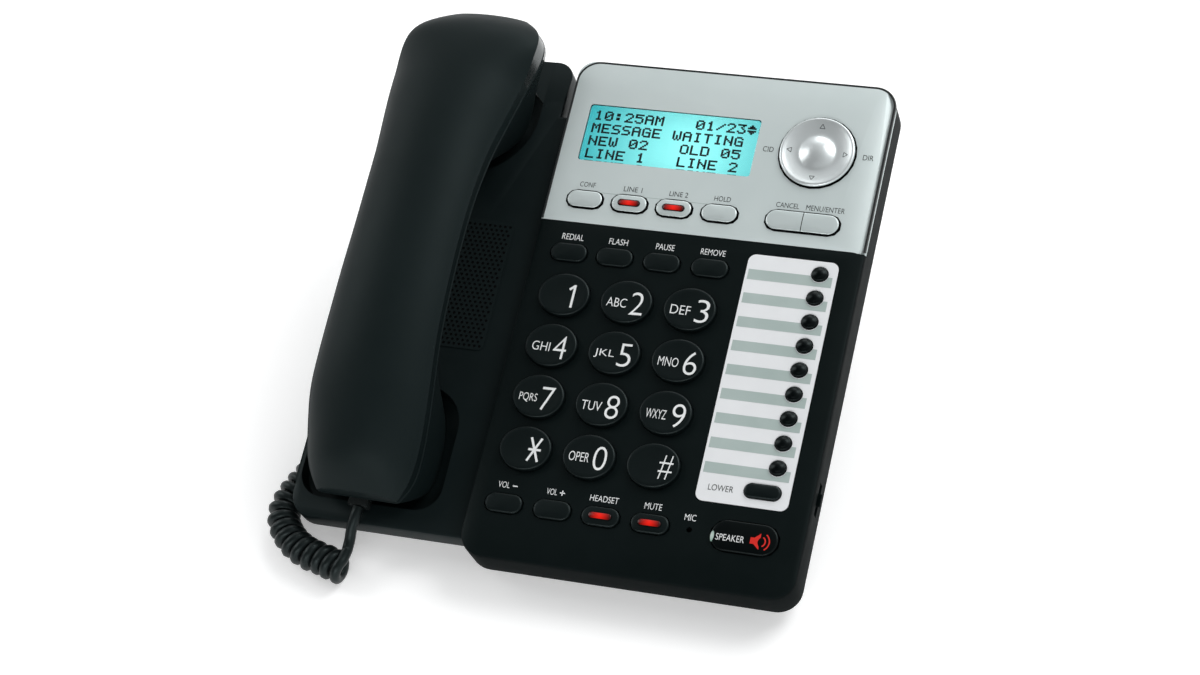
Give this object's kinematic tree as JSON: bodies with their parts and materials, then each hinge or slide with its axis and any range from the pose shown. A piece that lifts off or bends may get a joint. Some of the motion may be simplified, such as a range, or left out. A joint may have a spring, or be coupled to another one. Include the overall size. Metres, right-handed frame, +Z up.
{
  "type": "corded telephone",
  "caption": "Sloping desk speakerphone with push keys, tilting navigation disc, screen, memory card, and a handset on a curly cord.",
  "frame": {"origin": "on the table under the middle of the phone's bounding box, free cord left out", "axes": "+Z up from the table, +X to the user's right along the keypad rows, +Y from the user towards the rear"},
  "size_m": [0.2195, 0.2166, 0.1071],
  "materials": {
    "housing_black": "fine satin grain",
    "handset_black": "smooth satin",
    "key_black": "soft gloss, printed",
    "faceplate_silver": "silver paint on plastic",
    "navigation_silver": "satin silver plating",
    "display_clear": "clear window",
    "display_cyan": "lit liquid crystal",
    "card_white": "printed card",
    "rubber_dark": "matte",
    "board_green": "lacquered board",
    "speaker_steel": "plated",
    "plug_clear": "clear moulding",
    "cord_black": "soft satin"
  },
  "bodies": {
    "phone_base": {"top_housing": "housing_black", "faceplate": "faceplate_silver", "display_window": "display_clear", "display_module": "display_cyan", "index_card": "card_white", "keypad_mat": "rubber_dark", "circuit_board": "board_green", "loudspeaker": "speaker_steel", "base_shell": "housing_black", "desk_stand": "housing_black", "front_foot": "rubber_dark", "rear_foot": "rubber_dark", "base_plug": "plug_clear", "base_lead": "cord_black", "cord_coil": "cord_black"},
    "handset": {"handset_outer_shell": "handset_black", "handset_inner_shell": "handset_black", "handset_plug": "plug_clear", "handset_lead": "cord_black"},
    "hook_plunger": {"hook_switch": "key_black"},
    "ringer_slider": {"ringer_switch": "key_black"},
    "navigation_gimbal": {"navigation_pivot": "speaker_steel"},
    "navigation_cap": {"navigation_disc": "navigation_silver"},
    "key_1_cap": {"key_1": "key_black"},
    "key_2_cap": {"key_2": "key_black"},
    "key_3_cap": {"key_3": "key_black"},
    "key_4_cap": {"key_4": "key_black"},
    "key_5_cap": {"key_5": "key_black"},
    "key_6_cap": {"key_6": "key_black"},
    "key_7_cap": {"key_7": "key_black"},
    "key_8_cap": {"key_8": "key_black"},
    "key_9_cap": {"key_9": "key_black"},
    "key_star_cap": {"key_star": "key_black"},
    "key_0_cap": {"key_0": "key_black"},
    "key_pound_cap": {"key_pound": "key_black"},
    "key_redial_cap": {"key_redial": "key_black"},
    "key_flash_cap": {"key_flash": "key_black"},
    "key_pause_cap": {"key_pause": "key_black"},
    "key_remove_cap": {"key_remove": "key_black"},
    "key_volume_down_cap": {"key_volume_down": "key_black"},
    "key_volume_up_cap": {"key_volume_up": "key_black"},
    "key_headset_cap": {"key_headset": "key_black"},
    "key_mute_cap": {"key_mute": "key_black"},
    "key_speaker_cap": {"key_speaker": "key_black"},
    "key_lower_cap": {"key_lower": "key_black"},
    "key_conference_cap": {"key_conference": "faceplate_silver"},
    "key_line_1_cap": {"key_line_1": "faceplate_silver"},
    "key_line_2_cap": {"key_line_2": "faceplate_silver"},
    "key_hold_cap": {"key_hold": "faceplate_silver"},
    "key_cancel_cap": {"key_cancel": "faceplate_silver"},
    "key_menu_cap": {"key_menu": "faceplate_silver"},
    "memory_key_1_cap": {"memory_key_1": "key_black"},
    "memory_key_2_cap": {"memory_key_2": "key_black"},
    "memory_key_3_cap": {"memory_key_3": "key_black"},
    "memory_key_4_cap": {"memory_key_4": "key_black"},
    "memory_key_5_cap": {"memory_key_5": "key_black"},
    "memory_key_6_cap": {"memory_key_6": "key_black"},
    "memory_key_7_cap": {"memory_key_7": "key_black"},
    "memory_key_8_cap": {"memory_key_8": "key_black"},
    "memory_key_9_cap": {"memory_key_9": "key_black"}
  },
  "joints": [
    {"name": "handset_lift", "type": "slide", "parent": "phone_base", "child": "handset", "axis": [0, -0.309, 0.9511], "range_m": [0, 0.06]},
    {"name": "hook_rise", "type": "slide", "parent": "phone_base", "child": "hook_plunger", "axis": [0, -0.309, 0.9511], "range_m": [0, 0.004]},
    {"name": "ringer_slide", "type": "slide", "parent": "phone_base", "child": "ringer_slider", "axis": [0, 0.9511, 0.309], "range_m": [-0.003, 0.003]},
    {"name": "navigation_side_tilt", "type": "hinge", "parent": "phone_base", "child": "navigation_gimbal", "pos_m": [0.073, 0.06787, 0.06941], "axis": [0, 0.9511, 0.309], "range_deg": [-3, 3], "stiffness_Nm_per_rad": 0.06},
    {"name": "navigation_fore_tilt", "type": "hinge", "parent": "navigation_gimbal", "child": "navigation_cap", "pos_m": [0.073, 0.06787, 0.06941], "axis": [1, 0, 0], "range_deg": [-3, 3], "stiffness_Nm_per_rad": 0.06},
    {"name": "key_1_press", "type": "slide", "parent": "phone_base", "child": "key_1_cap", "axis": [0, 0.309, -0.9511], "range_m": [0, 0.0015], "stiffness_N_per_m": 400},
    {"name": "key_2_press", "type": "slide", "parent": "phone_base", "child": "key_2_cap", "axis": [0, 0.309, -0.9511], "range_m": [0, 0.0015], "stiffness_N_per_m": 400},
    {"name": "key_3_press", "type": "slide", "parent": "phone_base", "child": "key_3_cap", "axis": [0, 0.309, -0.9511], "range_m": [0, 0.0015], "stiffness_N_per_m": 400},
    {"name": "key_4_press", "type": "slide", "parent": "phone_base", "child": "key_4_cap", "axis": [0, 0.309, -0.9511], "range_m": [0, 0.0015], "stiffness_N_per_m": 400},
    {"name": "key_5_press", "type": "slide", "parent": "phone_base", "child": "key_5_cap", "axis": [0, 0.309, -0.9511], "range_m": [0, 0.0015], "stiffness_N_per_m": 400},
    {"name": "key_6_press", "type": "slide", "parent": "phone_base", "child": "key_6_cap", "axis": [0, 0.309, -0.9511], "range_m": [0, 0.0015], "stiffness_N_per_m": 400},
    {"name": "key_7_press", "type": "slide", "parent": "phone_base", "child": "key_7_cap", "axis": [0, 0.309, -0.9511], "range_m": [0, 0.0015], "stiffness_N_per_m": 400},
    {"name": "key_8_press", "type": "slide", "parent": "phone_base", "child": "key_8_cap", "axis": [0, 0.309, -0.9511], "range_m": [0, 0.0015], "stiffness_N_per_m": 400},
    {"name": "key_9_press", "type": "slide", "parent": "phone_base", "child": "key_9_cap", "axis": [0, 0.309, -0.9511], "range_m": [0, 0.0015], "stiffness_N_per_m": 400},
    {"name": "key_star_press", "type": "slide", "parent": "phone_base", "child": "key_star_cap", "axis": [0, 0.309, -0.9511], "range_m": [0, 0.0015], "stiffness_N_per_m": 400},
    {"name": "key_0_press", "type": "slide", "parent": "phone_base", "child": "key_0_cap", "axis": [0, 0.309, -0.9511], "range_m": [0, 0.0015], "stiffness_N_per_m": 400},
    {"name": "key_pound_press", "type": "slide", "parent": "phone_base", "child": "key_pound_cap", "axis": [0, 0.309, -0.9511], "range_m": [0, 0.0015], "stiffness_N_per_m": 400},
    {"name": "key_redial_press", "type": "slide", "parent": "phone_base", "child": "key_redial_cap", "axis": [0, 0.309, -0.9511], "range_m": [0, 0.0015], "stiffness_N_per_m": 400},
    {"name": "key_flash_press", "type": "slide", "parent": "phone_base", "child": "key_flash_cap", "axis": [0, 0.309, -0.9511], "range_m": [0, 0.0015], "stiffness_N_per_m": 400},
    {"name": "key_pause_press", "type": "slide", "parent": "phone_base", "child": "key_pause_cap", "axis": [0, 0.309, -0.9511], "range_m": [0, 0.0015], "stiffness_N_per_m": 400},
    {"name": "key_remove_press", "type": "slide", "parent": "phone_base", "child": "key_remove_cap", "axis": [0, 0.309, -0.9511], "range_m": [0, 0.0015], "stiffness_N_per_m": 400},
    {"name": "key_volume_down_press", "type": "slide", "parent": "phone_base", "child": "key_volume_down_cap", "axis": [0, 0.309, -0.9511], "range_m": [0, 0.0015], "stiffness_N_per_m": 400},
    {"name": "key_volume_up_press", "type": "slide", "parent": "phone_base", "child": "key_volume_up_cap", "axis": [0, 0.309, -0.9511], "range_m": [0, 0.0015], "stiffness_N_per_m": 400},
    {"name": "key_headset_press", "type": "slide", "parent": "phone_base", "child": "key_headset_cap", "axis": [0, 0.309, -0.9511], "range_m": [0, 0.0015], "stiffness_N_per_m": 400},
    {"name": "key_mute_press", "type": "slide", "parent": "phone_base", "child": "key_mute_cap", "axis": [0, 0.309, -0.9511], "range_m": [0, 0.0015], "stiffness_N_per_m": 400},
    {"name": "key_speaker_press", "type": "slide", "parent": "phone_base", "child": "key_speaker_cap", "axis": [0, 0.309, -0.9511], "range_m": [0, 0.0015], "stiffness_N_per_m": 400},
    {"name": "key_lower_press", "type": "slide", "parent": "phone_base", "child": "key_lower_cap", "axis": [0, 0.309, -0.9511], "range_m": [0, 0.0015], "stiffness_N_per_m": 400},
    {"name": "key_conference_press", "type": "slide", "parent": "phone_base", "child": "key_conference_cap", "axis": [0, 0.309, -0.9511], "range_m": [0, 0.0015], "stiffness_N_per_m": 400},
    {"name": "key_line_1_press", "type": "slide", "parent": "phone_base", "child": "key_line_1_cap", "axis": [0, 0.309, -0.9511], "range_m": [0, 0.0015], "stiffness_N_per_m": 400},
    {"name": "key_line_2_press", "type": "slide", "parent": "phone_base", "child": "key_line_2_cap", "axis": [0, 0.309, -0.9511], "range_m": [0, 0.0015], "stiffness_N_per_m": 400},
    {"name": "key_hold_press", "type": "slide", "parent": "phone_base", "child": "key_hold_cap", "axis": [0, 0.309, -0.9511], "range_m": [0, 0.0015], "stiffness_N_per_m": 400},
    {"name": "key_cancel_press", "type": "slide", "parent": "phone_base", "child": "key_cancel_cap", "axis": [0, 0.309, -0.9511], "range_m": [0, 0.0015], "stiffness_N_per_m": 400},
    {"name": "key_menu_press", "type": "slide", "parent": "phone_base", "child": "key_menu_cap", "axis": [0, 0.309, -0.9511], "range_m": [0, 0.0015], "stiffness_N_per_m": 400},
    {"name": "memory_key_1_press", "type": "slide", "parent": "phone_base", "child": "memory_key_1_cap", "axis": [0, 0.309, -0.9511], "range_m": [0, 0.0015], "stiffness_N_per_m": 400},
    {"name": "memory_key_2_press", "type": "slide", "parent": "phone_base", "child": "memory_key_2_cap", "axis": [0, 0.309, -0.9511], "range_m": [0, 0.0015], "stiffness_N_per_m": 400},
    {"name": "memory_key_3_press", "type": "slide", "parent": "phone_base", "child": "memory_key_3_cap", "axis": [0, 0.309, -0.9511], "range_m": [0, 0.0015], "stiffness_N_per_m": 400},
    {"name": "memory_key_4_press", "type": "slide", "parent": "phone_base", "child": "memory_key_4_cap", "axis": [0, 0.309, -0.9511], "range_m": [0, 0.0015], "stiffness_N_per_m": 400},
    {"name": "memory_key_5_press", "type": "slide", "parent": "phone_base", "child": "memory_key_5_cap", "axis": [0, 0.309, -0.9511], "range_m": [0, 0.0015], "stiffness_N_per_m": 400},
    {"name": "memory_key_6_press", "type": "slide", "parent": "phone_base", "child": "memory_key_6_cap", "axis": [0, 0.309, -0.9511], "range_m": [0, 0.0015], "stiffness_N_per_m": 400},
    {"name": "memory_key_7_press", "type": "slide", "parent": "phone_base", "child": "memory_key_7_cap", "axis": [0, 0.309, -0.9511], "range_m": [0, 0.0015], "stiffness_N_per_m": 400},
    {"name": "memory_key_8_press", "type": "slide", "parent": "phone_base", "child": "memory_key_8_cap", "axis": [0, 0.309, -0.9511], "range_m": [0, 0.0015], "stiffness_N_per_m": 400},
    {"name": "memory_key_9_press", "type": "slide", "parent": "phone_base", "child": "memory_key_9_cap", "axis": [0, 0.309, -0.9511], "range_m": [0, 0.0015], "stiffness_N_per_m": 400}
  ],
  "couplings": [
    {"joint": "hook_rise", "follows": "handset_lift", "ratio": 0.0666}
  ]
}
